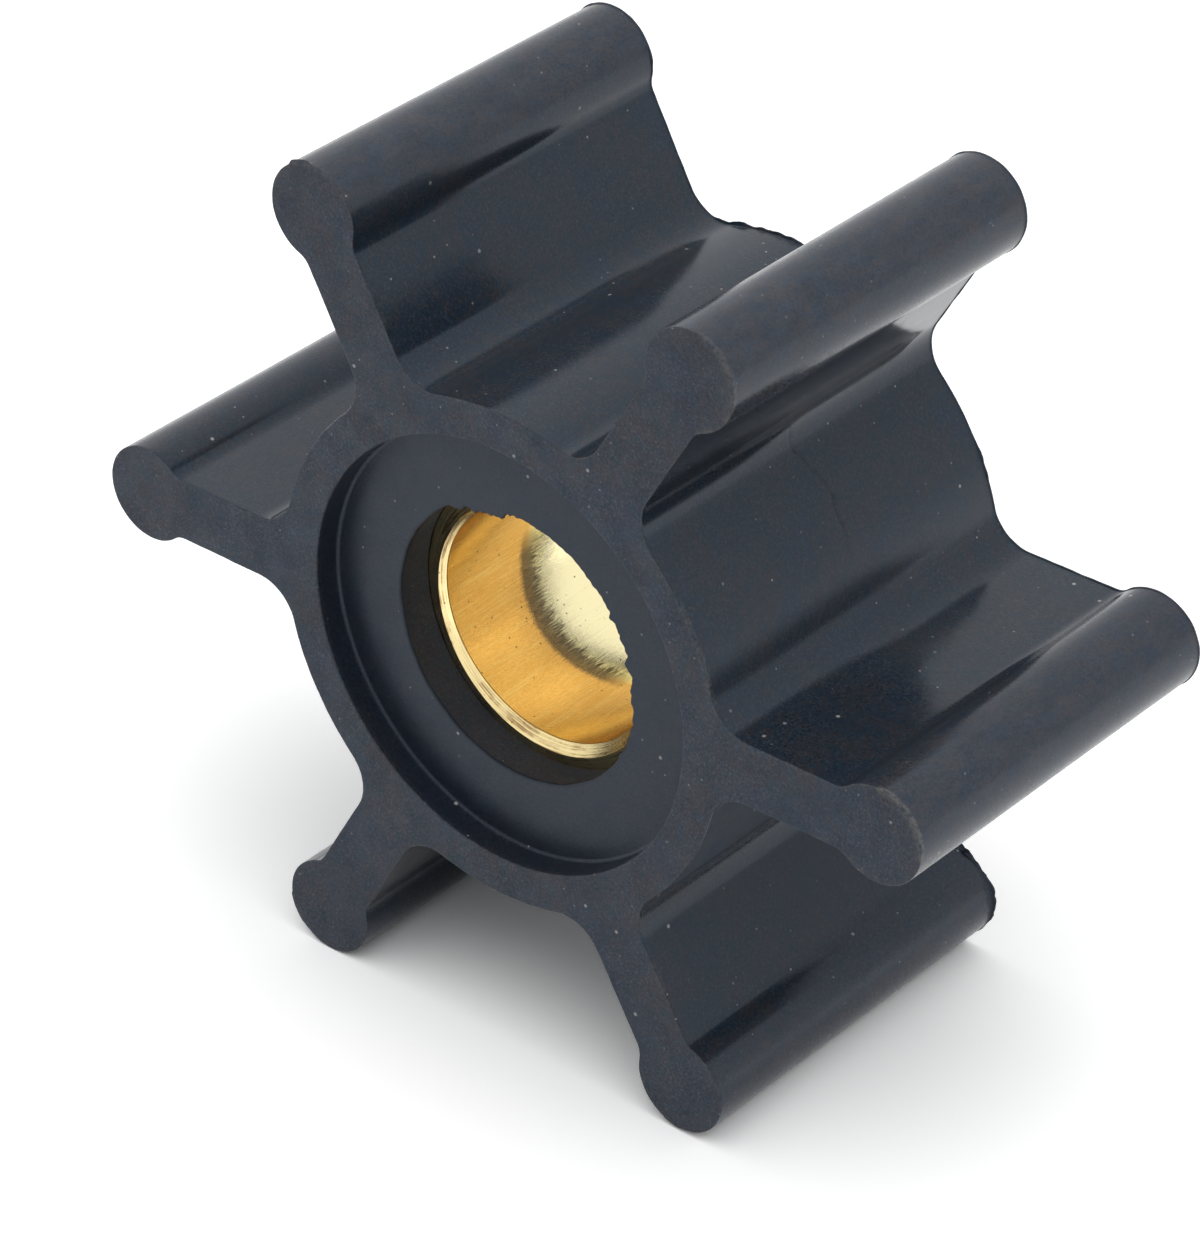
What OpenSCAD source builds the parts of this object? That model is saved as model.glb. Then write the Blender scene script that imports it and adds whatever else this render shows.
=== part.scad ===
/* [Impeller] */
// Diameter over the tips of the vanes
outside_diameter = 50.8; // [49:0.1:60]
// Width along the shaft, from face to face
impeller_width = 21.6; // [18:0.1:30]
// How many vanes stand round the hub
vane_count = 6; // [5:1:8]

/* [Hub] */
// Outside diameter of the rubber hub
hub_diameter = 27.2; // [25.4:0.1:30]
// Diameter of the round recess in each face
recess_diameter = 23; // [18:0.1:24.4]
// Depth of the recess in the front face
front_recess_depth = 1.5; // [0.5:0.1:2]
// Depth of the recess in the back face
back_recess_depth = 0.5; // [0.4:0.1:1.4]
// Radius of the rounded corner where a recess's wall meets its floor
recess_floor_radius = 0.2; // [0.1:0.05:0.4]
// Diameter of the hole from each recess down to the bush
mouth_diameter = 15.3; // [14:0.1:16]

/* [Vanes] */
// Thickness of the flat web of a vane
web_thickness = 3.4; // [2.4:0.1:4.4]
// Diameter of the round bead along the tip of a vane
bead_diameter = 5.15; // [4.6:0.05:6.4]
// Radius of the corner between a web and the hub
root_radius = 2.3; // [0.8:0.1:2.6]
// Radius of the corner between a web and its bead
neck_radius = 1.2; // [0.6:0.1:2]

/* [Bush] */
// Bore of the bush, which slides on the shaft
bore_diameter = 12.7; // [10:0.1:12.8]
// Outside diameter of the bush, bonded into the rubber
bush_diameter = 17.5; // [17:0.1:21]
// Distance from the front face down to the end of the bush
front_bush_depth = 3.4; // [3:0.1:5]
// Distance from the back face down to the other end of the bush
back_bush_depth = 2.4; // [2:0.1:4]
// Size of the chamfer at each end of the bore
bore_chamfer = 0.45; // [0.2:0.05:0.6]
// How far each end of the bush falls back at its rim
end_bevel = 0.9; // [0.3:0.1:1.2]

/* [Grip grooves] */
// How many grooves run round the outside of the bush and hold the rubber
groove_count = 3; // [1:1:4]
// Width of a grip groove
groove_width = 1.4; // [0.8:0.1:1.8]
// Depth of a grip groove
groove_depth = 0.6; // [0.3:0.1:0.9]

/* [Hidden] */
$fn = 96;

// Cutters pass through a face by this much
overshoot = 1;

hub_radius = hub_diameter / 2;
bead_radius = bead_diameter / 2;
bush_radius = bush_diameter / 2;
bore_radius = bore_diameter / 2;
half_web = web_thickness / 2;
half_width = impeller_width / 2;
vane_pitch = 360 / vane_count;

// The bead's middle, out along the vane
bead_along = outside_diameter / 2 - bead_radius;

// Middle of the root corner's circle, which touches the hub and the web
root_across = half_web + root_radius;
root_along = sqrt(pow(hub_radius + root_radius, 2) - pow(root_across, 2));
root_angle = atan2(root_across, root_along);
root_touch = hub_radius * [cos(root_angle), sin(root_angle)];

// Middle of the neck corner's circle, which touches the web and the bead
neck_across = half_web + neck_radius;
neck_reach = sqrt(pow(bead_radius + neck_radius, 2) - pow(neck_across, 2));
neck_along = bead_along - neck_reach;
neck_angle = atan2(neck_across, neck_reach);
neck_touch = [bead_along - bead_radius * cos(neck_angle), bead_radius * sin(neck_angle)];

// The bush lies between its two depths, measured from the middle of the width
bush_front = half_width - front_bush_depth;
bush_back = -(half_width - back_bush_depth);
grooved_length = bush_front - bush_back - 2 * end_bevel;
groove_pitch = grooved_length / (groove_count + 1);

// Outline of one vane before its corners are rounded, lying along X: a flat web,
// a round bead at the tip, and a wedge at each end of the web to carry the corners
module vane_blank() {
    translate([0, -half_web]) square([bead_along, web_thickness]);
    translate([bead_along, 0]) circle(r = bead_radius);
    polygon([[0, 0], [root_along, -root_across], [root_along, root_across]]);
    polygon([[bead_along, 0], [neck_along, neck_across], [neck_along, -neck_across]]);
}

// The four circles that round the corners of one vane
module vane_corners() {
    for (side = [-1, 1]) {
        translate([root_along, side * root_across]) circle(r = root_radius);
        translate([neck_along, side * neck_across]) circle(r = neck_radius);
    }
}

// Outline of the whole impeller, seen from its front face
module impeller_outline() {
    difference() {
        union() {
            circle(r = hub_radius);
            for (i = [0 : vane_count - 1]) {
                rotate(i * vane_pitch) vane_blank();
            }
        }
        for (i = [0 : vane_count - 1]) {
            rotate(i * vane_pitch) vane_corners();
        }
    }
}

// Half section of the bush without its bore: radius along X, distance along the shaft up Y
module bush_section() {
    ridge_radius = bore_radius + bore_chamfer;
    difference() {
        polygon([
            [0, bush_back],
            [ridge_radius, bush_back],
            [bush_radius, bush_back + end_bevel],
            [bush_radius, bush_front - end_bevel],
            [ridge_radius, bush_front],
            [0, bush_front]
        ]);
        for (i = [1 : groove_count]) {
            translate([bush_radius - groove_depth, bush_back + end_bevel + i * groove_pitch - groove_width / 2])
                square([groove_depth + overshoot, groove_width]);
        }
    }
}

// Cutter for a round recess with a rounded floor corner, its floor at z = 0
module recess_cutter(depth) {
    radius = recess_diameter / 2;
    inner = radius - recess_floor_radius;
    rotate_extrude() {
        square([inner, depth + overshoot]);
        translate([0, recess_floor_radius]) square([radius, depth - recess_floor_radius + overshoot]);
        intersection() {
            translate([inner, recess_floor_radius]) circle(r = recess_floor_radius);
            translate([inner, 0]) square([recess_floor_radius, recess_floor_radius]);
        }
    }
}

// Moulded rubber: hub, vanes and beads in one piece, with a seat for the bush
module rubber_impeller() {
    color([0.16, 0.17, 0.2]) rotate([90, 0, 0]) difference() {
        linear_extrude(impeller_width, center = true) impeller_outline();
        translate([0, 0, half_width - front_recess_depth]) recess_cutter(front_recess_depth);
        mirror([0, 0, 1]) translate([0, 0, half_width - back_recess_depth]) recess_cutter(back_recess_depth);
        cylinder(h = impeller_width + overshoot, d = mouth_diameter, center = true);
        rotate_extrude() bush_section();
    }
}

// Turned brass: plain bore, chamfered ends that fall back to the rim, and grip grooves
module brass_bush() {
    color([0.8, 0.62, 0.3]) rotate([90, 0, 0]) difference() {
        rotate_extrude() bush_section();
        cylinder(h = impeller_width, r = bore_radius, center = true);
        translate([0, 0, bush_front - bore_chamfer])
            cylinder(h = 2 * bore_chamfer, r1 = bore_radius, r2 = bore_radius + 2 * bore_chamfer);
        mirror([0, 0, 1]) translate([0, 0, -bush_back - bore_chamfer])
            cylinder(h = 2 * bore_chamfer, r1 = bore_radius, r2 = bore_radius + 2 * bore_chamfer);
    }
}

rubber_impeller();
brass_bush();
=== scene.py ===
"""The looks of a rubber pump impeller on its brass bush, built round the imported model."""
import math

import bpy
import numpy as np
from mathutils import Matrix, Vector, noise
from mathutils.geometry import delaunay_2d_cdt


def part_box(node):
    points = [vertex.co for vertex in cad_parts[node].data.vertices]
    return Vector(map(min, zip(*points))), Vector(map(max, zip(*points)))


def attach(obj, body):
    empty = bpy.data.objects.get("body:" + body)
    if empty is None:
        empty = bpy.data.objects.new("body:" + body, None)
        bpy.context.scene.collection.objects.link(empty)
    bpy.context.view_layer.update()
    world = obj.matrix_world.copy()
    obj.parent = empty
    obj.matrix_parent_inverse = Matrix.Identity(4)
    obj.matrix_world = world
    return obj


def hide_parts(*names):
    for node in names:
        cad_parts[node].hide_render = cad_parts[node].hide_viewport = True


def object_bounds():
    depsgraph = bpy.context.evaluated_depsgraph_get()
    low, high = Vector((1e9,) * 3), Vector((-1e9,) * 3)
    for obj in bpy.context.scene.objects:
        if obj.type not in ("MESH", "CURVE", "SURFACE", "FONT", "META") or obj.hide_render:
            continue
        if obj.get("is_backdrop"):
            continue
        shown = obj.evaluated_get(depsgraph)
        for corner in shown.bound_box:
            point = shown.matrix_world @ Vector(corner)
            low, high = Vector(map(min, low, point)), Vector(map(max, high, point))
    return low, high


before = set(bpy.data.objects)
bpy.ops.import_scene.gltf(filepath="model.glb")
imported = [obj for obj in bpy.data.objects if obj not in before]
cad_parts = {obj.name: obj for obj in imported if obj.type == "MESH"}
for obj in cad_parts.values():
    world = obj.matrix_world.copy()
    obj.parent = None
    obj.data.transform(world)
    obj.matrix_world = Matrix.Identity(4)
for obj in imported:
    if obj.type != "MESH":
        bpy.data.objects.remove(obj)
cad_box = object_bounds()

# Lengths below are in millimetres, and MM turns them into Blender's metres
MM = 0.001

# Places along the shaft are depths behind the front face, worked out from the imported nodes
RUBBER_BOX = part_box("rubber_impeller")
BUSH_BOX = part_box("brass_bush")
WIDTH = (RUBBER_BOX[1].y - RUBBER_BOX[0].y) / MM
HALF_WIDTH = WIDTH / 2
BUSH_START = BUSH_BOX[0].y / MM + HALF_WIDTH
BUSH_END = BUSH_BOX[1].y / MM + HALF_WIDTH

# The moulding's outline, seen from the front
TIP_RADIUS = 25.4
HUB_RADIUS = 13.6
HALF_WEB = 1.7
BEAD_RADIUS = 2.575
ROOT_RADIUS = 2.3
NECK_RADIUS = 1.2
VANE_ANGLES = [0, 60, 120, 180, 240, 300]
# How far each soft vane leans off its even place, in degrees
VANE_LEANS = [0.5, -0.55, -0.91, -0.01, 0.24, 0.54]

# The hub's hollows
RECESS_RADIUS = 11.5
FRONT_RECESS = 1.5
BACK_RECESS = 0.5
RECESS_CORNER = 0.2
MOUTH_RADIUS = 7.65
LIP_RADIUS = 7.35

# The bush
BORE_RADIUS = 6.35
CHAMFER = 0.45
BUSH_RADIUS = 8.75
END_BEVEL = 0.9
# Polar angle at which the front chamfer is widest
WIDE_SIDE = 320
GROOVES = 3
GROOVE_WIDTH = 1.4
GROOVE_DEPTH = 0.6

# How finely the meshes are cut, and the angle above which an edge looks sharp
OUTLINE_STEP = 0.14
CAP_STEP = 0.55
ROUND_STEPS = 4
CORNER_STEPS = 5
SIDE_ROWS = 13
RECESS_WALL_ROWS = 4
FRONT_FLOOR_ROWS = 10
BACK_FLOOR_ROWS = 8
MOUTH_ROWS = 6
BORE_ROWS = 29
CHAMFER_ROWS = 12
BEVEL_ROWS = 48
HUB_TURN = 480
BUSH_TURN = 300
SHARP_ANGLE = 35

# Small forms that moulding, grinding and handling leave
FRONT_ROUND = 0.055
RIM_ROUND = 0.08
LIP_ROUND = 0.09
# Width of the band of painted shade on the recess floor before the lip
PAINTED_SHADE_WIDTH = 0.12
SCUFF_WIDTH = 0.14
FLASH_THICKNESS = 0.1
FLASH_FILLET = 0.35
# How thick the lips are at the mouth's wall, how far the front lip's underside slopes down on its first
# half, and how high the back lip's edge is
LIP_THICKNESS = 0.3
FRONT_LIP_SLOPE = 0.04
BACK_LIP_EDGE = 0.1
# How far behind the front face the even rows of the sides start, and how far before the back they end
ROWS_START = 0.6
ROWS_END = 0.35
# Flat border between a face's edge and the net of points inside it
CAP_BORDER = 0.08
# Least distance between rings that would otherwise meet
SLIVER = 0.005

# How strongly edges are worn and the lip is darkened by painted shade, from 0 to 1
EDGE_WEAR = 0.5
RIM_WEAR = 0.2
LIP_PAINTED_SHADE = 0.8
# Radii between which the beads' pale bloom and painted sheen set in
BLOOM_SHEEN_FROM, BLOOM_SHEEN_FULL = 21.2, 23.2

# The bush's ends: how far off centre the front chamfer is, as a share of its size, how deep the
# turning marks are on chamfer and bevel, how many the bevel has, and the polar angle of the deepest
OFF_CENTRE = 0.3
CHAMFER_MARKS = 0.006
BEVEL_MARKS = 0.024
BEVEL_MARK_COUNT = 8
DEEP_MARKS_SIDE = 135

# Zones of the outline: polar angle, spread in degrees, the two radii that they lie between, and amount.
# The amount of a scuff is how strongly the front edge is rubbed pale
SCUFFS = [
    (4, 3, 23, 26, 1.5),
    (0, 6, 21, 26, 0.3),
    (24, 10, 13, 16, 0.6),
    (56, 4, 21, 26, 0.9),
    (119, 4, 21, 26, 0.4),
    (302, 3, 14, 18, 0.9),
]
# The amount is how far the front edge's burrs and the back edge's flash stand out
BURRS = [(117.9, 1.2, 24.9, 26, 0.14), (237, 1.5, 24.5, 26, 0.1), (296, 1.5, 24.5, 26, 0.08)]
FLASH = [
    (90, 18, 13, 15.5, 0.13),
    (306, 1, 20.4, 25, 0.27),
    (26, 4, 13, 15, 0.08),
    (116, 4, 22, 26, 0.03),
]
# The amount is added to the roughness of the moulded skin
ROUGHER = [
    (0, 180, 13, 14.3, 0.05),
    (0, 180, 20.3, 26, 0.04),
    (18, 20, 13, 15.5, 0.06),
    (330, 18, 13, 17.5, 0.5),
]

# Zones of the lip where the front recess's floor ends: polar angle, spread in degrees, and amount,
# which is how far the lip moves out, or how deep its torn teeth are
LIP_SHIFTS = [(60, 62, -0.2), (104, 8, -0.34), (14, 2, -0.2)]
TORN_LIP = [(105, 16, 0.11), (0, 36, 0.11), (60, 28, 0.06), (220, 70, 0.02)]

# Colours of the rubber
WORN_RUBBER = (0.105, 0.101, 0.098)
PALE_SPECK = (0.28, 0.28, 0.28)
WHITE_SPECK = (0.45, 0.44, 0.43)
# Tints of the beads' pale bloom and painted sheen
BLUE_BLOOM_SHEEN = (0.036, 0.045, 0.062)
BROWN_BLOOM_SHEEN = (0.052, 0.049, 0.053)
COOL_SHINE = (0.68, 0.81, 1.0)
# What a bluish colour's red, green and blue are multiplied by, to turn it to teal
TOWARDS_TEAL = (0.75, 1.05, 1.0)

# Colours of the brass
GOLD_BRASS = (0.79, 0.475, 0.16)
ORANGE_BRASS = (0.66, 0.37, 0.12)
PALE_BRASS = (0.99, 0.89, 0.53)
END_BRASS = (0.95, 0.78, 0.40)
BROWN_STAIN = (0.36, 0.22, 0.09)
TARNISH = (0.13, 0.08, 0.04)
# Colour of the dark band painted in the bore as a reflection of the rubber
REFLECTED_SLATE = (0.15, 0.115, 0.08)

# Camera: where its eye is, how it is turned in degrees, its focal length and its frame's height in
# pixels, the size of its sensor, and the distances between which it sees
EYE = (145.529, -174.910, 144.063)
AZIMUTH, ELEVATION, ROLL = 40.2685, 32.9061, 0.1571
FOCAL_PIXELS = 5541.4
FRAME_HEIGHT_PIXELS = 1240
SENSOR = 36
NEAREST_SEEN, FARTHEST_SEEN = 10, 20000

# Light: the room is dim up to one height and bright from another up, as sines of the angle
HORIZON_LIGHT = 0.35
ROOM_LIGHT = 1.1
DIM_UP_TO, BRIGHT_FROM = 0.3, 0.75
# How bright the lamp alone makes a white floor, how wide it looks in degrees, and the way to it
LAMP_LIGHT = 0.2
LAMP_SPREAD = 60
LAMP_TOWARDS = (0.30, -0.16, 0.86)
# How white the floor shows, how much light it throws back on things, and how far it reaches
FLOOR_WHITE = 1.28
FLOOR_BOUNCE = 0.5
FLOOR_REACH = 3000

# The moulding's materials, in the order of their slots
FACE, FLANK, RECESS, MOUTH = range(4)


def arc(centre, radius, start, end, step=OUTLINE_STEP):
    """Points along an arc, in steps of about one length, without its last point."""
    count = max(2, round(abs(end - start) * radius / step))
    turn = np.linspace(start, end, count, endpoint=False)
    return np.column_stack([centre[0] + radius * np.cos(turn), centre[1] + radius * np.sin(turn)])


def line(start, end, step=OUTLINE_STEP):
    """Points along a straight line, without its last point."""
    count = max(2, round(math.dist(start, end) / step))
    along = np.linspace(0, 1, count, endpoint=False)[:, None]
    return np.array(start) * (1 - along) + np.array(end) * along


def root_corner():
    """Middle of the corner circle between web and hub, and its angle seen from the hub's middle."""
    across = HALF_WEB + ROOT_RADIUS
    along = math.sqrt((HUB_RADIUS + ROOT_RADIUS) ** 2 - across**2)
    return along, across, math.atan2(across, along)


def vane_points():
    """One vane's outline, lying along X, from the hub out round its bead and back to the hub."""
    root_along, root_across, root_angle = root_corner()
    bead_along = TIP_RADIUS - BEAD_RADIUS
    neck_across = HALF_WEB + NECK_RADIUS
    neck_reach = math.sqrt((BEAD_RADIUS + NECK_RADIUS) ** 2 - neck_across**2)
    neck_along = bead_along - neck_reach
    neck_angle = math.atan2(neck_across, neck_reach)
    quarter, half = math.pi / 2, math.pi
    return np.concatenate([
        arc((root_along, -root_across), ROOT_RADIUS, half - root_angle, quarter),
        line((root_along, -HALF_WEB), (neck_along, -HALF_WEB)),
        arc((neck_along, -neck_across), NECK_RADIUS, quarter, neck_angle),
        arc((bead_along, 0), BEAD_RADIUS, neck_angle - half, half - neck_angle),
        arc((neck_along, neck_across), NECK_RADIUS, -neck_angle, -quarter),
        line((neck_along, HALF_WEB), (root_along, HALF_WEB)),
        arc((root_along, root_across), ROOT_RADIUS, -quarter, root_angle - half),
    ])


def impeller_outline():
    """The whole outline as one closed, anticlockwise loop of points."""
    vane = vane_points()
    root_angle = root_corner()[2]
    middles = [math.radians(a + lean) for a, lean in zip(VANE_ANGLES, VANE_LEANS)]
    pieces = []
    for middle, following in zip(middles, middles[1:] + [middles[0] + math.tau]):
        c, s = math.cos(middle), math.sin(middle)
        pieces.append(vane @ np.array([[c, s], [-s, c]]))
        pieces.append(arc((0, 0), HUB_RADIUS, middle + root_angle, following - root_angle))
    return np.concatenate(pieces)


def outward(loop):
    """Unit normals of a closed anticlockwise loop, pointing out of it."""
    tangent = np.roll(loop, -1, 0) - np.roll(loop, 1, 0)
    normal = np.column_stack([tangent[:, 1], -tangent[:, 0]])
    return normal / np.linalg.norm(normal, axis=1)[:, None]


def waves(points, lengths, seed):
    """Smooth noise from about -1 to 1 at each point, with one wavelength for each axis."""
    scaled = np.asarray(points, float) / np.array(lengths, float) + seed * 17.3
    return np.array([noise.noise(Vector(p)) for p in scaled])


def near_angle(loop, middle, spread, fade=2.0):
    """1 at points within spread degrees of a polar angle, falling to 0 just beyond it."""
    polar = np.degrees(np.arctan2(loop[:, 1], loop[:, 0]))
    away = np.abs((polar - middle + 180) % 360 - 180)
    return np.clip(1 + (spread - away) / fade, 0, 1)


def zones(loop, table, fade=2.0):
    """Adds up the zones of the outline that a table gives."""
    radius = np.hypot(*loop.T)
    total = np.zeros(len(loop))
    for middle, spread, low, high, amount in table:
        total += amount * near_angle(loop, middle, spread, fade) * (radius > low) * (radius < high)
    return total


def smooth(x):
    """Eases a share from 0 to 1 at both ends."""
    return x * x * (3 - 2 * x)


def shares(rows):
    """Where the lines between equal rows lie, with both ends, from 0 to 1."""
    return np.linspace(0, 1, rows + 1)


def fade_ends(share, steepness):
    """0 at both ends of a stretch and 1 in between."""
    return min(1, share * steepness) * min(1, (1 - share) * steepness)


def quarter_turn(steps=ROUND_STEPS):
    """Angles of a quarter circle cut into equal steps, from 0 to a right angle."""
    return np.linspace(0, math.pi / 2, steps + 1)


def depth_to_y(depth):
    """A depth behind the front face as a place along Y."""
    return depth - HALF_WIDTH


def in_space(plane, y=0.0):
    """Points of a plane across the shaft, put at one place along it or at a place each."""
    return np.column_stack([plane[:, 0], np.broadcast_to(y, len(plane)), plane[:, 1]])


def circle(radius, count):
    """Points round the shaft's axis, at one radius or at a radius each."""
    turn = np.linspace(0, math.tau, count, endpoint=False)
    return np.column_stack([radius * np.cos(turn), radius * np.sin(turn)])


class Surface:
    """Collects rings of points, and the faces between them, into one mesh."""

    def __init__(self):
        self.points = []
        self.traits = {"wear": [], "bead": [], "matt": [], "painted_shade": []}
        self.count = 0
        self.faces = []
        self.kinds = []

    def ring(self, points, **traits):
        """Adds points, with what the materials need to know about each."""
        points = np.asarray(points, float)
        start = self.count
        self.points.append(points)
        for name, kept in self.traits.items():
            kept.append(np.broadcast_to(np.asarray(traits.get(name, 0.0), float), len(points)))
        self.count += len(points)
        return np.arange(start, self.count)

    def band(self, a, b, kind):
        """Quads between two rings of the same length."""
        quads = np.column_stack([a, np.roll(a, -1), np.roll(b, -1), b])
        self.faces.extend(quads.tolist())
        self.kinds.extend([kind] * len(quads))

    def strip(self, rings, kind):
        """A band from each ring to the next."""
        for a, b in zip(rings, rings[1:]):
            self.band(a, b, kind)

    def cap(self, outer, inner, y, kind):
        """A flat face between two closed rings, with a net of points inside it."""
        every = np.concatenate(self.points)
        loops = [every[outer][:, [0, 2]], every[inner][:, [0, 2]]]
        net = net_between(*loops)
        net_ring = self.ring(in_space(net, y))
        flat = np.concatenate([*loops, net])
        index = np.concatenate([outer, inner, net_ring])
        edges = []
        start = 0
        for size in (len(outer), len(inner)):
            edges += [(start + k, start + (k + 1) % size) for k in range(size)]
            start += size
        made = delaunay_2d_cdt([Vector(p) for p in flat], edges, [], 0, 1e-7)
        source = [original[0] for original in made[3]]
        triangles = np.array([[source[v] for v in face] for face in made[2]])
        centres = flat[triangles].mean(1)
        keep = inside(centres, loops[0]) & ~inside(centres, loops[1])
        self.faces.extend(index[triangles[keep]].tolist())
        self.kinds.extend([kind] * int(keep.sum()))

    def build(self, name, materials):
        """The collected mesh as an object, with its materials and what they need to know."""
        mesh = bpy.data.meshes.new(name)
        mesh.from_pydata((np.concatenate(self.points) * MM).tolist(), [], self.faces)
        for material in materials:
            mesh.materials.append(material)
        mesh.polygons.foreach_set("material_index", self.kinds)
        mesh.polygons.foreach_set("use_smooth", [True] * len(mesh.polygons))
        for title, values in self.traits.items():
            attribute = mesh.attributes.new(title, "FLOAT", "POINT")
            attribute.data.foreach_set("value", np.concatenate(values).astype(np.float32))
        mesh.update()
        piece = bpy.data.objects.new(name, mesh)
        bpy.context.scene.collection.objects.link(piece)
        return piece


def inside(points, loop):
    """Which points lie inside a closed loop, by counting crossings."""
    x, y = points[:, 0][:, None], points[:, 1][:, None]
    x0, y0 = loop[:, 0][None], loop[:, 1][None]
    x1, y1 = np.roll(loop[:, 0], -1)[None], np.roll(loop[:, 1], -1)[None]
    crosses = (y0 > y) != (y1 > y)
    rise = np.where(y1 == y0, 1, y1 - y0)
    left = x < x0 + (y - y0) / rise * (x1 - x0)
    return (crosses & left).sum(1) % 2 == 1


def net_between(outer, inner):
    """A net of points between two loops, clear of both."""
    row = CAP_STEP * math.sqrt(3) / 2
    low, high = outer.min(0), outer.max(0)
    net = np.array([
        (x + (CAP_STEP / 2 if k % 2 else 0), z)
        for k, z in enumerate(np.arange(low[1], high[1], row))
        for x in np.arange(low[0], high[0], CAP_STEP)
    ])
    net = net[inside(net, outer) & ~inside(net, inner)]
    walls = np.concatenate([outer, inner])
    clear = [np.hypot(*(walls - p).T).min() > CAP_STEP * 0.6 for p in net]
    return net[clear]


def flash_height(loop):
    """How far the moulding flash stands out from the back edge: a fine line with ragged tongues."""
    at = in_space(loop)
    fine = 0.035 + 0.03 * waves(at, (0.7, 1, 0.7), 3)
    tongues = 0.7 + 1.0 * waves(at, (0.75, 1, 0.75), 4) + 0.35 * waves(at, (0.25, 1, 0.25), 5)
    return fine + zones(loop, FLASH, 1.2) * np.clip(tongues, 0, 1.3)


class Flank:
    """Rings of the moulding's outline: over the front edge, along the sides and over the flash."""

    def __init__(self, surface, loop):
        self.surface = surface
        self.loop = loop
        self.normal = outward(loop)
        at = in_space(loop)
        nicks = 0.12 * np.clip(waves(at, (0.5, 1, 0.5), 2) - 0.45, 0, 1)
        self.front_round = FRONT_ROUND + 0.02 * waves(at, (1.3, 1, 1.3), 1) + nicks
        self.unsteady = 0.014 * waves(at, (0.6, 1, 0.6), 10)
        self.scuff = zones(loop, SCUFFS)
        self.rougher = zones(loop, ROUGHER)
        self.on_bead = np.clip((np.hypot(*loop.T) - BLOOM_SHEEN_FROM) / (BLOOM_SHEEN_FULL - BLOOM_SHEEN_FROM), 0, 1)

    def ring(self, depth, offset, wear=0.0, skin=True):
        """The outline at a depth, moved out by an offset, with or without the skin's rougher zones."""
        moved = self.loop + self.normal * np.broadcast_to(offset, len(self.loop))[:, None]
        points = in_space(moved, depth_to_y(depth))
        return self.surface.ring(points, wear=wear, bead=self.on_bead, matt=self.rougher if skin else 0.0)

    def front_edge(self):
        """A small round with nicks, burrs and worn places."""
        burr = zones(self.loop, BURRS, 0.5)
        rings = [self.ring(0, -self.front_round - CAP_BORDER * 4, skin=False)]
        rings.append(self.ring(0, -self.front_round - CAP_BORDER, self.scuff * 0.8, skin=False))
        for turn in quarter_turn():
            lift = self.unsteady + burr * math.sin(turn) ** 2
            inset = self.front_round * (1 - math.sin(turn))
            depth = self.front_round * (1 - math.cos(turn))
            worn = self.scuff + EDGE_WEAR * math.cos(turn)
            rings.append(self.ring(depth, lift - inset, worn, skin=False))
        return rings

    def sides(self, edge_ring):
        """The long, slightly uneven sides, from the front edge's last ring."""
        rings = [edge_ring]
        rings.append(self.ring(self.front_round + SCUFF_WIDTH, self.unsteady * 0.6, self.scuff))
        rings.append(self.ring(self.front_round + SCUFF_WIDTH * 1.8, self.unsteady * 0.3))
        length = WIDTH - ROWS_END - ROWS_START
        for share in shares(SIDE_ROWS):
            depth = ROWS_START + length * share
            at = in_space(self.loop, depth)
            uneven = 0.010 * waves(at, (2.2, 9, 2.2), 8) + 0.005 * waves(at, (0.9, 6, 0.9), 9)
            rings.append(self.ring(depth, uneven * fade_ends(share, 8)))
        return rings

    def back_edge(self, side_ring):
        """A fillet that runs out into the flash, and the flash's own edge, from the sides' last ring."""
        flash = flash_height(self.loop)
        step_depth = WIDTH - FLASH_THICKNESS
        fillet = np.minimum(FLASH_FILLET, flash * 0.85)
        edge_start = flash * 0.93
        rings = [side_ring]
        for turn in quarter_turn():
            depth = step_depth - fillet * (1 - math.sin(turn))
            rings.append(self.ring(depth, fillet * (1 - math.cos(turn))))
        rings.append(self.ring(step_depth + SLIVER * 2, np.maximum(edge_start, fillet + SLIVER)))
        rings.append(self.ring(WIDTH - FLASH_THICKNESS / 2, flash + SLIVER))
        rings.append(self.ring(WIDTH, edge_start))
        rings.append(self.ring(WIDTH, -CAP_BORDER))
        return rings


def turned(surface, radius, depth, wear=0.0, count=HUB_TURN, painted_shade=0.0):
    """A ring round the shaft's axis."""
    return surface.ring(in_space(circle(radius, count), depth_to_y(depth)), wear=wear, painted_shade=painted_shade)


def lip(seed, shifts, torn):
    """Radius of the lip where a recess floor ends at the mouth: uneven all round, torn in places."""
    plane = circle(LIP_RADIUS, HUB_TURN)
    at = in_space(plane)
    radius = LIP_RADIUS + 0.05 * waves(at, (1.6, 1, 1.6), seed)
    radius += 0.02 * waves(at, (0.35, 1, 0.35), seed + 1)
    for middle, spread, shift in shifts:
        radius += shift * near_angle(plane, middle, spread)
    teeth = 1.1 * waves(at, (0.8, 1, 0.8), seed + 2) + 1.2 * waves(at, (0.28, 1, 0.28), seed + 3)
    for middle, spread, deep in torn:
        radius += deep * near_angle(plane, middle, spread) * teeth
    return radius


def front_rim_rings(surface):
    """Rings from the front face over the rim of its recess."""
    rings = [turned(surface, RECESS_RADIUS + RIM_ROUND + CAP_BORDER, 0)]
    for turn in quarter_turn():
        radius = RECESS_RADIUS + RIM_ROUND * (1 - math.sin(turn))
        rings.append(turned(surface, radius, RIM_ROUND * (1 - math.cos(turn)), RIM_WEAR))
    return rings


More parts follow.
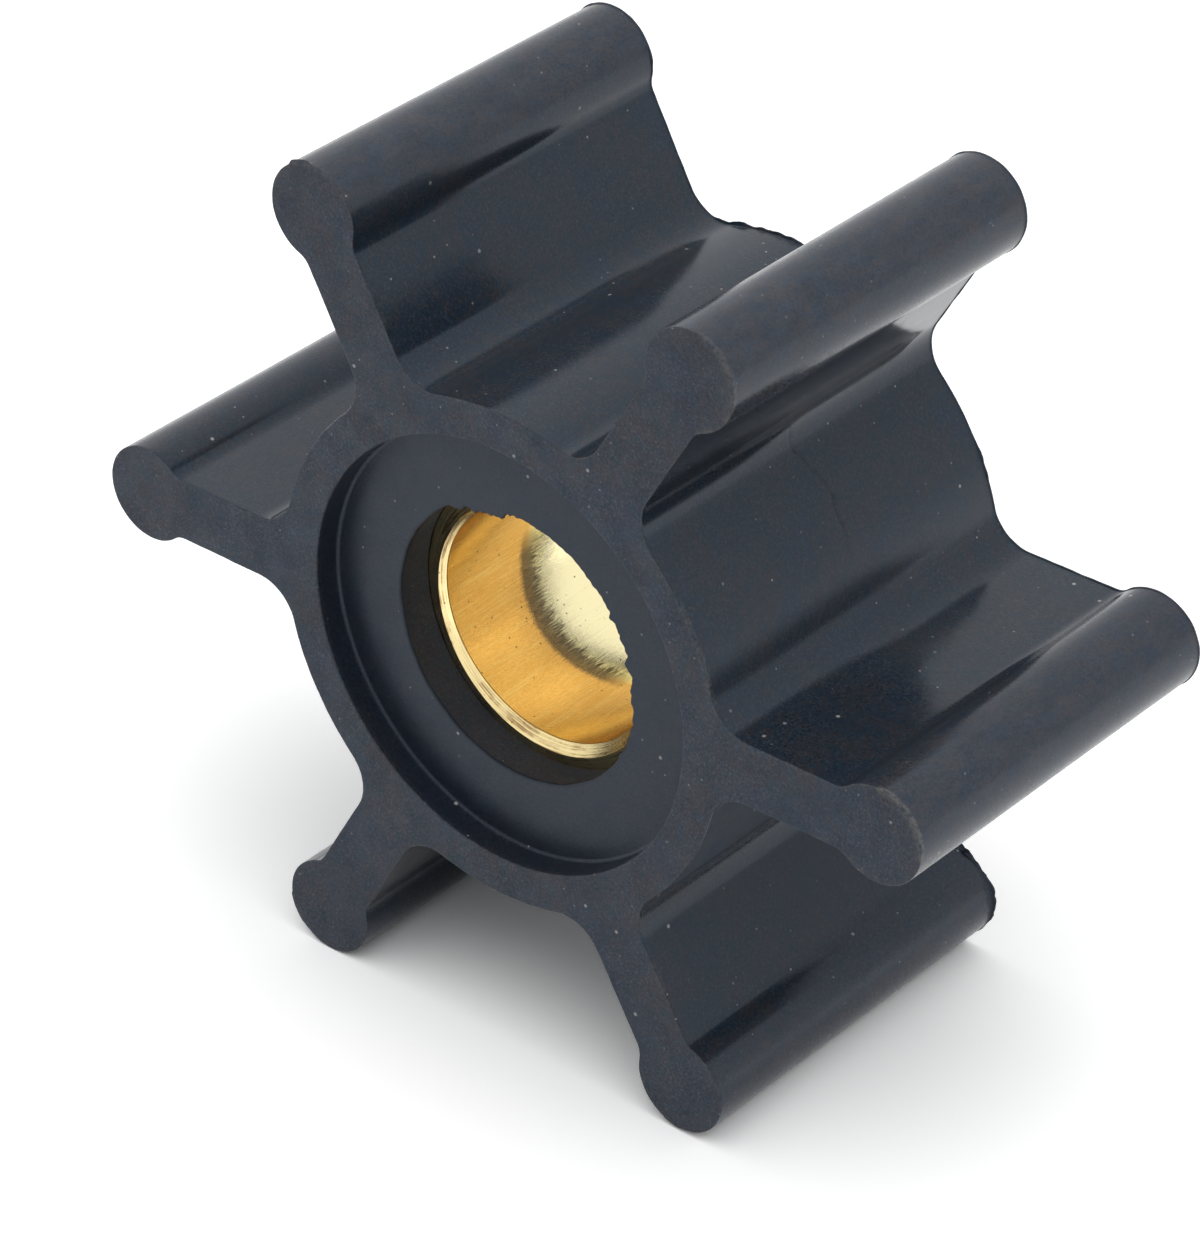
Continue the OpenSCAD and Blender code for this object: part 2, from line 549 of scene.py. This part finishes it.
def front_recess_rings(surface, rim_ring, edge):
    """Rings from the rim down the recess's wall, round its corner and over its floor to the lip."""
    rings = [rim_ring]
    for share in shares(RECESS_WALL_ROWS)[1:]:
        wall_depth = RIM_ROUND + (FRONT_RECESS - RECESS_CORNER - RIM_ROUND) * share
        rings.append(turned(surface, RECESS_RADIUS, wall_depth))
    for turn in quarter_turn(CORNER_STEPS)[1:]:
        radius = RECESS_RADIUS - RECESS_CORNER * (1 - math.cos(turn))
        rings.append(turned(surface, radius, FRONT_RECESS - RECESS_CORNER * (1 - math.sin(turn))))
    start, end = RECESS_RADIUS - RECESS_CORNER, LIP_RADIUS + LIP_ROUND
    for share in shares(FRONT_FLOOR_ROWS)[1:-1]:
        ease = smooth(max(0, share * 4 - 3))
        radius = start + (end - start) * share + (edge - LIP_RADIUS) * ease
        rings.append(turned(surface, radius, FRONT_RECESS))
    # Painted shade: the lip's round and a narrow band of floor before it are darkened
    rings.append(turned(surface, edge + LIP_ROUND + PAINTED_SHADE_WIDTH, FRONT_RECESS))
    rings.append(turned(surface, edge + LIP_ROUND, FRONT_RECESS, painted_shade=LIP_PAINTED_SHADE))
    for turn in quarter_turn()[1:]:
        radius = edge + LIP_ROUND * (1 - math.sin(turn))
        depth = FRONT_RECESS + LIP_ROUND * (1 - math.cos(turn))
        rings.append(turned(surface, radius, depth, painted_shade=LIP_PAINTED_SHADE))
    return rings


def back_recess_rings(surface, edge, lip_ring):
    """Rings from the mouth's back lip out over the shallow recess to the back face's rim."""
    floor_depth = WIDTH - BACK_RECESS
    start = RECESS_RADIUS - RECESS_CORNER
    floor = [lip_ring]
    for share in shares(BACK_FLOOR_ROWS)[1:]:
        ease = smooth(max(0, 1 - share * 2))
        radius = LIP_RADIUS + (start - LIP_RADIUS) * share + (edge - LIP_RADIUS) * ease
        floor.append(turned(surface, radius, floor_depth))
    for turn in quarter_turn()[1:]:
        radius = start + RECESS_CORNER * math.sin(turn)
        floor.append(turned(surface, radius, floor_depth + RECESS_CORNER * (1 - math.cos(turn))))
    rim = [floor[-1]]
    for turn in quarter_turn():
        radius = RECESS_RADIUS + RIM_ROUND * (1 - math.cos(turn))
        rim.append(turned(surface, radius, WIDTH - RIM_ROUND * (1 - math.sin(turn)), RIM_WEAR))
    rim.append(turned(surface, RECESS_RADIUS + RIM_ROUND + CAP_BORDER, WIDTH))
    return floor, rim


def seat_profile():
    """Radius and depth of the bush's outside, from its front end to its back, as the rubber grips it."""
    slope = END_BEVEL / (BUSH_RADIUS - BORE_RADIUS - CHAMFER)
    mouth_drop = (MOUTH_RADIUS - BORE_RADIUS - CHAMFER) * slope
    first, last = BUSH_START + END_BEVEL, BUSH_END - END_BEVEL
    pitch = (last - first) / (GROOVES + 1)
    inner = BUSH_RADIUS - GROOVE_DEPTH
    slant = SLIVER * 2
    profile = [(MOUTH_RADIUS, BUSH_START + mouth_drop), (BUSH_RADIUS, first)]
    for k in range(1, GROOVES + 1):
        low = first + k * pitch - GROOVE_WIDTH / 2
        high = low + GROOVE_WIDTH
        profile += [(BUSH_RADIUS, low), (inner, low + slant), (inner, high - slant), (BUSH_RADIUS, high)]
    profile += [(BUSH_RADIUS, last), (MOUTH_RADIUS, BUSH_END - mouth_drop)]
    return profile


def mouth_rings(surface, front_ring, front_edge, back_edge):
    """Rings from the front lip, down the mouth's wall and over the bush's seat, to the back lip."""
    wall_start = FRONT_RECESS + LIP_THICKNESS
    rings = [front_ring]
    middle = (front_edge + MOUTH_RADIUS) / 2
    rings.append(turned(surface, middle, FRONT_RECESS + LIP_ROUND + FRONT_LIP_SLOPE))
    rings.append(turned(surface, MOUTH_RADIUS, wall_start))
    seat = seat_profile()
    for share in shares(MOUTH_ROWS)[1:-1]:
        rings.append(turned(surface, MOUTH_RADIUS, wall_start + (seat[0][1] - wall_start) * share))
    for radius, depth in seat:
        rings.append(turned(surface, radius, depth))
    back_floor = WIDTH - BACK_RECESS
    rings.append(turned(surface, MOUTH_RADIUS, back_floor - LIP_THICKNESS))
    rings.append(turned(surface, back_edge, back_floor - BACK_LIP_EDGE))
    rings.append(turned(surface, back_edge, back_floor))
    return rings


def build_rubber(materials):
    """The whole moulding as one closed mesh."""
    surface = Surface()
    flank = Flank(surface, impeller_outline())
    edge = flank.front_edge()
    sides = flank.sides(edge[-1])
    back = flank.back_edge(sides[-1])
    # The ground face's material goes halfway round the front edge
    halfway = len(edge) - 1 - ROUND_STEPS // 2
    surface.strip(edge[: halfway + 1], FACE)
    surface.strip(edge[halfway:], FLANK)
    surface.strip(sides + back[1:], FLANK)
    front_lip, back_lip = lip(20, LIP_SHIFTS, TORN_LIP), lip(30, [], [])
    rim = front_rim_rings(surface)
    recess = front_recess_rings(surface, rim[-1], front_lip)
    surface.strip(rim, FACE)
    surface.strip(recess, RECESS)
    surface.cap(edge[0], rim[0], depth_to_y(0), FACE)
    mouth = mouth_rings(surface, recess[-1], front_lip, back_lip)
    surface.strip(mouth, MOUTH)
    back_floor, back_rim = back_recess_rings(surface, back_lip, mouth[-1])
    surface.strip(back_floor, RECESS)
    surface.strip(back_rim, FACE)
    surface.cap(back[-1], back_rim[-1], depth_to_y(WIDTH), FACE)
    return finish_piece(surface.build("rubber_moulding", materials), "rubber_impeller")


def finish_piece(piece, node):
    """Turns every face outwards, keeps sharp edges crisp, and ties the piece to the frame."""
    bpy.context.view_layer.objects.active = piece
    bpy.ops.object.select_all(action="DESELECT")
    piece.select_set(True)
    bpy.ops.object.mode_set(mode="EDIT")
    bpy.ops.mesh.select_all(action="SELECT")
    bpy.ops.mesh.normals_make_consistent(inside=False)
    bpy.ops.object.mode_set(mode="OBJECT")
    piece.data.set_sharp_from_angle(angle=math.radians(SHARP_ANGLE))
    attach(piece, "root")
    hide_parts(node)
    return piece


def bush_end(off_centre):
    """Rings of the bush's end, as radius and depth: the chamfer, then a bevel with turning marks.

    Where the chamfer was cut off centre, it is narrower on one side than on the other.
    """
    turn = np.linspace(0, math.tau, BUSH_TURN, endpoint=False)
    chamfer = CHAMFER * (1 - off_centre * (0.5 - np.cos(turn - math.radians(WIDE_SIDE))))
    plane = circle(1, BUSH_TURN)
    uneven = 0.6 + 0.8 * waves(in_space(plane), (0.5, 1, 0.5), 50)
    uneven += 0.8 * near_angle(plane, DEEP_MARKS_SIDE, 30)
    rings = []
    for share in shares(CHAMFER_ROWS):
        coarse, fine = math.sin(share * 16) ** 2, math.sin(share * 41) ** 2
        mark = CHAMFER_MARKS * uneven * (coarse + 0.5 * fine)
        mark = mark * smooth(fade_ends(share, 6))
        rings.append((BORE_RADIUS + chamfer * share + mark, chamfer * (1 - share) + mark))
    ridge = BORE_RADIUS + chamfer
    for share in shares(BEVEL_ROWS)[1:]:
        wave = abs(math.sin(share * math.pi * BEVEL_MARK_COUNT)) * (1 - share) ** 0.5
        mark = BEVEL_MARKS * uneven * wave * min(1, share * 12)
        rings.append((ridge + (BUSH_RADIUS - ridge) * share, END_BEVEL * share - mark))
    return rings


def build_bush(materials):
    """The bush as one closed mesh of turned rings: bore, front end, gripped outside, back end."""
    surface = Surface()

    def ring(radius, depth, on_end=0.0):
        """A ring of the bush, with or without the finish of its ends."""
        return turned(surface, radius, depth, on_end, BUSH_TURN)

    front, back = bush_end(OFF_CENTRE), bush_end(0.0)
    bore_from, bore_to = BUSH_START + front[0][1], BUSH_END - back[0][1]
    rings = []
    # Rings close to both ends of the bore keep the finish of the bush's ends off it
    for share in (0.003, *shares(BORE_ROWS)[1:-1], 0.993):
        rings.append(ring(BORE_RADIUS, bore_to + (bore_from - bore_to) * share))
    for radius, depth in front:
        rings.append(ring(radius, BUSH_START + depth, 1.0))
    for radius, depth in seat_profile()[1:-1]:
        rings.append(ring(radius, depth))
    for radius, depth in reversed(back):
        rings.append(ring(radius, BUSH_END - depth, 1.0))
    surface.strip(rings + rings[:1], 0)
    return finish_piece(surface.build("brass_sleeve", materials), "brass_bush")


class Nodes:
    """Short calls for the nodes of one material."""

    def __init__(self, name):
        self.material = bpy.data.materials.new(name)
        self.material.use_nodes = True
        self.tree = self.material.node_tree
        self.tree.nodes.clear()
        self.output = self.add("ShaderNodeOutputMaterial")

    def add(self, kind, **settings):
        """A new node with its settings."""
        node = self.tree.nodes.new(kind)
        for key, value in settings.items():
            setattr(node, key, value)
        return node

    def set(self, node, name, value):
        """Joins a socket, or sets a plain value."""
        socket = node.inputs[name]
        if isinstance(value, bpy.types.NodeSocket):
            self.tree.links.new(value, socket)
        else:
            socket.default_value = value

    def millimetres(self, stretch=(1, 1, 1), seed=0):
        """The object's own coordinates in millimetres, drawn out along an axis by a stretch above 1."""
        coordinates = self.add("ShaderNodeTexCoord")
        mapping = self.add("ShaderNodeMapping")
        self.tree.links.new(coordinates.outputs["Object"], mapping.inputs["Vector"])
        mapping.inputs["Scale"].default_value = [1 / (MM * s) for s in stretch]
        mapping.inputs["Location"].default_value = (seed * 31.7, seed * 17.9, seed * 43.3)
        return mapping.outputs["Vector"]

    def axes(self):
        """The X, Y and Z coordinates in millimetres, where Y grows from the front face to the back."""
        split = self.add("ShaderNodeSeparateXYZ")
        self.set(split, "Vector", self.millimetres())
        return split.outputs

    def attribute(self, name):
        """One of the values that the mesh keeps for each point."""
        return self.add("ShaderNodeAttribute", attribute_name=name).outputs["Fac"]

    def round_the_axis(self):
        """A place that changes fast with the distance from the shaft's axis, and slowly round it."""
        x, y, z = self.axes()[0:3]
        squares = self.math("ADD", self.math("MULTIPLY", x, x), self.math("MULTIPLY", z, z))
        join = self.add("ShaderNodeCombineXYZ")
        self.set(join, "X", self.math("SQRT", squares))
        self.set(join, "Y", self.math("MULTIPLY", x, 0.02))
        self.set(join, "Z", self.math("MULTIPLY", z, 0.02))
        return join.outputs["Vector"]

    def noise(self, size, detail=2.0, roughness=0.5, stretch=(1, 1, 1), seed=0, place=None):
        """Noise from 0 to 1 whose features are about size millimetres across."""
        node = self.add("ShaderNodeTexNoise")
        self.set(node, "Vector", place or self.millimetres(stretch, seed))
        self.set(node, "Scale", 1 / size)
        self.set(node, "Detail", detail)
        self.set(node, "Roughness", roughness)
        return node.outputs["Fac"]

    def math(self, operation, a, b=0.0, clamp=False):
        """The result of one operation on one or two values."""
        node = self.add("ShaderNodeMath", operation=operation, use_clamp=clamp)
        self.set(node, 0, a)
        self.set(node, 1, b)
        return node.outputs[0]

    def spread(self, value, low, high, to_low=0.0, to_high=1.0):
        """Maps low..high to to_low..to_high, held at both ends."""
        node = self.add("ShaderNodeMapRange", clamp=True)
        ends = {"From Min": low, "From Max": high, "To Min": to_low, "To Max": to_high}
        for name, number in ends.items():
            self.set(node, name, number)
        self.set(node, "Value", value)
        return node.outputs[0]

    def around(self, value, middle, half, soft):
        """1 where a value is within half of the middle one, falling softly to 0."""
        away = self.math("ABSOLUTE", self.math("SUBTRACT", value, middle))
        return self.spread(away, half, half + soft, 1.0, 0.0)

    def blend(self, share, a, b):
        """One colour mixed into another."""
        node = self.add("ShaderNodeMix", data_type="RGBA")
        self.set(node, "Factor", share)
        for name, colour in (("A", a), ("B", b)):
            socket = [s for s in node.inputs if s.name == name and s.type == "RGBA"][0]
            if isinstance(colour, bpy.types.NodeSocket):
                self.tree.links.new(colour, socket)
            else:
                socket.default_value = (*colour, 1)
        return [s for s in node.outputs if s.type == "RGBA"][0]

    def specks(self, cell, radius, share, seed=0):
        """Scattered round specks of uneven strength: one in each cell, of which a share is kept."""
        node = self.add("ShaderNodeTexVoronoi")
        self.set(node, "Vector", self.millimetres(seed=seed))
        self.set(node, "Scale", 1 / cell)
        near = self.spread(node.outputs["Distance"], radius / cell, radius / cell * 0.5)
        channels = self.add("ShaderNodeSeparateColor")
        self.set(channels, "Color", node.outputs["Color"])
        kept = self.math("LESS_THAN", channels.outputs[0], share)
        strength = self.spread(channels.outputs[1], 0.0, 1.0, 0.25, 1.0)
        return self.math("MULTIPLY", near, self.math("MULTIPLY", kept, strength))

    def bump(self, height, distance, under=None):
        """Bump whose full height is distance millimetres."""
        node = self.add("ShaderNodeBump")
        self.set(node, "Height", height)
        self.set(node, "Distance", distance * MM)
        if under is not None:
            self.set(node, "Normal", under)
        return node.outputs["Normal"]

    def surface(self, **values):
        """Ends the material with one shader that takes these values."""
        shader = self.add("ShaderNodeBsdfPrincipled")
        for name, value in values.items():
            if isinstance(value, tuple):
                value = (*value, 1)
            self.set(shader, name.replace("_", " "), value)
        self.tree.links.new(shader.outputs["BSDF"], self.output.inputs["Surface"])
        return self.material


def times(colour, factor):
    """A colour made lighter or darker."""
    return tuple(channel * factor for channel in colour)


def blotches(n, blue, brown):
    """Black rubber's own colour: bluish and brownish blotches of two sizes."""
    teal = tuple(channel * factor for channel, factor in zip(blue, TOWARDS_TEAL))
    colour = n.blend(n.spread(n.noise(3.0, 2, seed=1), 0.4, 0.62), blue, brown)
    colour = n.blend(n.spread(n.noise(0.55, 3, 0.6, seed=2), 0.45, 0.62, 0.0, 0.8), colour, teal)
    return n.blend(n.spread(n.noise(0.45, 3, 0.6, seed=13), 0.5, 0.66, 0.0, 0.8), colour, brown)


def bloom_and_sheen(n, colour):
    """The beads' pale bloom and painted sheen over a colour, in blotches drawn out along the shaft and
    painted stronger higher up.
    """
    tint = n.blend(n.spread(n.noise(0.7, 3, 0.6, (1, 2, 1), seed=15), 0.4, 0.6), BLUE_BLOOM_SHEEN, BROWN_BLOOM_SHEEN)
    share = n.spread(n.noise(0.9, 4, 0.65, (1, 2, 1), seed=5), 0.35, 0.65, 0.4, 1.0)
    # Painted light: the sheen grows towards the top, as if lit from above
    painted_light_above = n.spread(n.axes()["Z"], -10.0, 18.0, 0.65, 1.0)
    share = n.math("MULTIPLY", share, painted_light_above)
    return n.blend(n.math("MULTIPLY", n.attribute("bead"), share), colour, tint)


def grain(n, colour, blue, brown, contrast, detail):
    """A fine dark and pale grain over a colour."""
    contrast = n.spread(n.noise(4.0, 2, seed=18), 0.35, 0.65, contrast * 0.6, contrast)
    dark = n.math("MULTIPLY", n.spread(n.noise(0.16, detail, 0.75, seed=3), 0.46, 0.7), contrast)
    colour = n.blend(dark, colour, times(blue, 0.3))
    pale = n.math("MULTIPLY", n.spread(n.noise(0.14, detail, 0.75, seed=4), 0.5, 0.75), contrast)
    return n.blend(pale, colour, times(brown, 2.6))


def wear_and_specks(n, colour, speck_share):
    """Rubbed edges and scattered pale specks over a colour."""
    rubbed = n.math("MULTIPLY", n.attribute("wear"), n.spread(n.noise(0.25, 4, 0.75, seed=6), 0.4, 0.68))
    colour = n.blend(rubbed, colour, WORN_RUBBER)
    colour = n.blend(n.specks(0.7, 0.07, speck_share, seed=7), colour, PALE_SPECK)
    return n.blend(n.specks(1.6, 0.12, speck_share * 1.3, seed=8), colour, WHITE_SPECK)


def flow_line(n):
    """A fine dark line across the hub between two vanes, where the flowing rubber met in the mould."""
    x, y, z = n.axes()[0:3]
    # The line swings back and then forward as it runs down the hub, and wavers on its way
    path = n.math("ADD", n.spread(x, 8.4, 10.7, -0.4, 0.72), n.spread(x, 10.9, 12.7, 0.0, -0.35))
    path = n.math("ADD", path, n.spread(n.noise(0.7, 2, seed=14), 0.3, 0.7, -0.14, 0.14))
    on_line = n.around(n.math("SUBTRACT", y, path), 0.0, 0.04, 0.17)
    on_hub = n.math("MULTIPLY", n.spread(x, 8.1, 8.7), n.spread(x, 11.3, 13.0, 1.0, 0.0))
    between_vanes = n.math("MULTIPLY", n.spread(z, 3.8, 4.6), n.spread(z, 10.9, 11.5, 1.0, 0.0))
    on_hub = n.math("MULTIPLY", on_hub, between_vanes)
    broken = n.spread(n.noise(0.5, 3, seed=16), 0.38, 0.58, 0.05, 1.0)
    return n.math("MULTIPLY", n.math("MULTIPLY", on_line, on_hub), broken)


def moulded_skin(n, colour, roughness, blue):
    """What only the moulded skin has: speckled gloss on the beads, the flow line and faint streaks."""
    speckle = n.spread(n.noise(0.14, 2, 0.7, seed=17), 0.35, 0.7, 0.0, 0.12)
    speckle = n.math("MULTIPLY", n.attribute("bead"), speckle)
    roughness = n.math("ADD", roughness, n.math("SUBTRACT", speckle, 0.04))
    seam = flow_line(n)
    colour = n.blend(seam, colour, times(blue, 0.1))
    streaks = n.bump(n.noise(1.6, 0, 0.4, (1, 4, 1), seed=12), 0.005)
    return colour, roughness, n.bump(seam, -0.008, streaks)


def rubber_material(name, blue, brown, rough, shine, contrast, speck_share, pits=None):
    """Rubber with blotches, grain, bloom with painted sheen, wear, specks and painted shade at the lip.

    Pits have a depth in millimetres, and rubber without any is the glossy moulded skin.
    """
    n = Nodes(name)
    is_skin = pits is None
    colour = grain(n, bloom_and_sheen(n, blotches(n, blue, brown)), blue, brown, contrast, 1 if is_skin else 3)
    colour = wear_and_specks(n, colour, speck_share)
    # Painted shade darkens the front lip of the mouth
    colour = n.blend(n.attribute("painted_shade"), colour, times(blue, 0.25))
    roughness = n.spread(n.noise(1.4, 3, seed=9), 0.3, 0.7, rough * 0.85, rough * 1.15)
    roughness = n.math("ADD", roughness, n.attribute("matt"))
    if is_skin:
        colour, roughness, normal = moulded_skin(n, colour, roughness, blue)
    else:
        normal = n.bump(n.noise(0.12, 4, 0.7, seed=10), pits)
    gloss = {"Specular IOR Level": shine, "Specular Tint": COOL_SHINE, "Normal": normal}
    return n.surface(Base_Color=colour, Roughness=roughness, **gloss)


def face_rubber():
    """The ground end faces: matt, mottled and speckled."""
    return rubber_material(
        "ground_rubber",
        blue=(0.0325, 0.0408, 0.061),
        brown=(0.0445, 0.0435, 0.0505),
        rough=0.6,
        shine=0.35,
        contrast=0.9,
        speck_share=0.4,
        pits=0.016,
    )


def flank_rubber():
    """The moulded skin of hub and vanes: glossy, with faint streaks along the shaft."""
    return rubber_material(
        "moulded_rubber",
        blue=(0.0145, 0.0222, 0.0365),
        brown=(0.0245, 0.025, 0.029),
        rough=0.19,
        shine=0.385,
        contrast=0.5,
        speck_share=0.3,
    )


def recess_rubber():
    """The recess's wall and floor: half matt."""
    return rubber_material(
        "recess_rubber",
        blue=(0.012, 0.017, 0.029),
        brown=(0.017, 0.019, 0.027),
        rough=0.36,
        shine=0.35,
        contrast=0.8,
        speck_share=0.25,
        pits=0.003,
    )


def mouth_rubber():
    """The wall of the hole down to the bush: matt."""
    return rubber_material(
        "mouth_rubber",
        blue=(0.034, 0.037, 0.054),
        brown=(0.038, 0.037, 0.045),
        rough=0.5,
        shine=0.3,
        contrast=0.6,
        speck_share=0.1,
        pits=0.006,
    )


def painted_reflection_band(n, streaks):
    """A painted reflection: a dark band part of the way round the bore on one side, and each point's
    place behind the band's arch.

    The band is crisp in front and streaked behind, and it arches back towards both of its ends.
    """
    x, y, z = n.axes()[0:3]
    across = n.math("MULTIPLY", n.math("SUBTRACT", x, z), math.sqrt(0.5) / BORE_RADIUS)
    arch = n.math("MULTIPLY", n.math("MULTIPLY", across, across), 1.9)
    place = n.math("SUBTRACT", y, arch)
    ragged = n.math("ADD", place, n.spread(streaks, 0.3, 0.7, -0.4, 0.4))
    behind = n.spread(ragged, -1.5, -0.9, 1.0, 0.0)
    front = n.spread(n.math("ADD", place, n.spread(streaks, 0.3, 0.7, -0.12, 0.12)), -2.55, -2.25)
    reach = n.spread(n.math("ADD", x, z), -7.4, -6.2, 1.0, 0.0)
    return n.math("MULTIPLY", n.math("MULTIPLY", front, behind), reach), place


def bore_colour(n, along, streaks, band, place):
    """Gold with orange smudges and pale scratches, and a painted reflection: the dark band, with paler
    brass behind it.
    """
    smudges = n.spread(n.noise(1.5, 4, 0.6, (1, 2, 1), seed=1), 0.45, 0.72, 0.0, 0.6)
    colour = n.blend(smudges, GOLD_BRASS, ORANGE_BRASS)
    short = n.noise(0.08, 3, 0.7, (1, 4, 1), seed=5)
    colour = n.blend(n.spread(short, 0.45, 0.65, 0.0, 0.5), colour, ORANGE_BRASS)
    scored = n.noise(0.3, 3, 0.6, (1, 25, 1), seed=8)
    colour = n.blend(n.spread(along, 0.5, 0.7, 0.0, 0.24), colour, PALE_BRASS)
    colour = n.blend(n.spread(scored, 0.58, 0.68, 0.0, 0.16), colour, PALE_BRASS)
    # Painted reflection of the bright opening behind: paler brass behind the band
    colour = n.blend(n.spread(place, -2.1, -1.5), colour, PALE_BRASS)
    # The band itself is a painted reflection of the dark rubber
    return n.blend(n.math("MULTIPLY", band, n.spread(streaks, 0.3, 0.7, 1.0, 0.75)), colour, REFLECTED_SLATE)


def end_colour(n, colour, on_end, rings):
    """The bush's ends over a colour: paler, with a dark outline and brown stains in the turning marks."""
    colour = n.blend(on_end, colour, END_BRASS)
    colour = n.blend(n.around(on_end, 0.5, 0.2, 0.2), colour, TARNISH)
    stained = n.spread(n.noise(1.1, 3, 0.6, seed=6), 0.42, 0.58, 0.3, 1.0)
    turning = n.math("MULTIPLY", n.math("MULTIPLY", n.spread(rings, 0.47, 0.56), on_end), stained)
    return n.blend(n.math("MULTIPLY", turning, 0.9), colour, BROWN_STAIN)


def brass_material():
    """Turned brass: fine scratches along the bore, rings on the ends, small dark pits, and a painted
    reflection band in the bore.
    """
    n = Nodes("turned_brass")
    on_end = n.attribute("wear")
    along = n.noise(0.09, 4, 0.65, (1, 30, 1), seed=2)
    streaks = n.noise(0.08, 3, 0.6, (1, 9, 1), seed=9)
    rings = n.noise(0.08, 3, 0.7, place=n.round_the_axis())
    band, place = painted_reflection_band(n, streaks)
    colour = end_colour(n, bore_colour(n, along, streaks, band, place), on_end, rings)
    colour = n.blend(n.spread(along, 0.62, 0.8, 0.0, 0.3), colour, TARNISH)
    colour = n.blend(n.specks(0.5, 0.065, 0.6, seed=3), colour, TARNISH)
    colour = n.blend(n.specks(1.1, 0.09, 0.4, seed=4), colour, TARNISH)
    polish = n.spread(place, -2.4, -0.6, 0.2, 0.1)
    roughness = n.math("ADD", polish, n.spread(along, 0.3, 0.75, 0.0, 0.06))
    scratches = n.math("MULTIPLY", along, n.spread(place, -4.0, -2.0, 0.25, 1.0))
    normal = n.bump(scratches, 0.007)
    normal = n.bump(n.math("MULTIPLY", rings, on_end), 0.008, normal)
    return n.surface(Base_Color=colour, Metallic=1.0, Roughness=roughness, Normal=normal)


def seen_directly(n):
    """1 for rays from the camera, off gloss or through glass, and 0 for light that falls on things."""
    path = n.add("ShaderNodeLightPath").outputs
    seen = n.math("ADD", path["Is Camera Ray"], path["Is Glossy Ray"])
    return n.math("ADD", seen, path["Is Transmission Ray"], clamp=True)


def build_floor(height):
    """A pale floor, white where the camera sees it unshaded."""
    reach = FLOOR_REACH * MM
    corners = [(x * reach, y * reach, height) for x, y in ((-1, -1), (1, -1), (1, 1), (-1, 1))]
    mesh = bpy.data.meshes.new("floor")
    mesh.from_pydata(corners, [], [(0, 1, 2, 3)])
    floor = bpy.data.objects.new("floor", mesh)
    bpy.context.scene.collection.objects.link(floor)
    n = Nodes("floor_paper")
    paper = n.add("ShaderNodeBsdfDiffuse")
    n.set(paper, "Color", n.blend(seen_directly(n), (FLOOR_BOUNCE,) * 3, (FLOOR_WHITE,) * 3))
    n.tree.links.new(paper.outputs[0], n.output.inputs["Surface"])
    mesh.materials.append(n.material)
    floor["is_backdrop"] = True


class WorldNodes(Nodes):
    """The same short calls for the world's nodes."""

    def __init__(self, name):
        world = bpy.data.worlds.new(name)
        bpy.context.scene.world = world
        world.use_nodes = True
        self.tree = world.node_tree
        self.tree.nodes.clear()
        self.output = self.add("ShaderNodeOutputWorld")


def build_light():
    """A white room, brighter from above, and one wide soft lamp above and a little to the right."""
    n = WorldNodes("studio")
    background = n.add("ShaderNodeBackground")
    n.set(background, "Color", (1, 1, 1, 1))
    way = n.add("ShaderNodeSeparateXYZ")
    n.set(way, "Vector", n.add("ShaderNodeTexCoord").outputs["Generated"])
    room = n.spread(way.outputs["Z"], DIM_UP_TO, BRIGHT_FROM, HORIZON_LIGHT, ROOM_LIGHT)
    n.set(background, "Strength", n.spread(seen_directly(n), 0.0, 1.0, room, 1.0))
    n.tree.links.new(background.outputs[0], n.output.inputs["Surface"])
    towards = Vector(LAMP_TOWARDS).normalized()
    lamp = bpy.data.lights.new("overhead", "SUN")
    lamp.energy = LAMP_LIGHT * math.pi / towards.z
    lamp.angle = math.radians(LAMP_SPREAD)
    overhead = bpy.data.objects.new("overhead", lamp)
    bpy.context.scene.collection.objects.link(overhead)
    overhead.visible_glossy = False
    overhead.rotation_mode = "QUATERNION"
    overhead.rotation_quaternion = towards.to_track_quat("Z", "Y")


def build_camera():
    """The photograph's own view."""
    azimuth, elevation, roll = (math.radians(x) for x in (AZIMUTH, ELEVATION, ROLL))
    level_back = Vector((math.sin(azimuth), -math.cos(azimuth), 0))
    back = level_back * math.cos(elevation) + Vector((0, 0, math.sin(elevation)))
    level = Vector((math.cos(azimuth), math.sin(azimuth), 0))
    right = level * math.cos(roll) + back.cross(level) * math.sin(roll)
    up = back.cross(right)
    data = bpy.data.cameras.new("camera")
    data.lens = FOCAL_PIXELS * SENSOR / FRAME_HEIGHT_PIXELS
    data.sensor_width = SENSOR
    data.clip_start, data.clip_end = NEAREST_SEEN * MM, FARTHEST_SEEN * MM
    camera = bpy.data.objects.new("camera", data)
    bpy.context.scene.collection.objects.link(camera)
    turn = Matrix((right, up, back)).transposed().to_4x4()
    camera.matrix_world = Matrix.Translation(Vector(EYE) * MM) @ turn
    bpy.context.scene.camera = camera


def write_sizes():
    """Puts the CAD model's box and the visual model's box into plain lists in metres, which are not kept.
    """
    boxes = {"cad": cad_box, "visual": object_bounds()}
    {name: [list(low), list(high)] for name, (low, high) in boxes.items()}


build_camera()
rubber = build_rubber([face_rubber(), flank_rubber(), recess_rubber(), mouth_rubber()])
build_bush([brass_material()])
build_floor(min(v.co.z for v in rubber.data.vertices))
build_light()
bpy.context.scene.view_settings.view_transform = "Standard"
write_sizes()
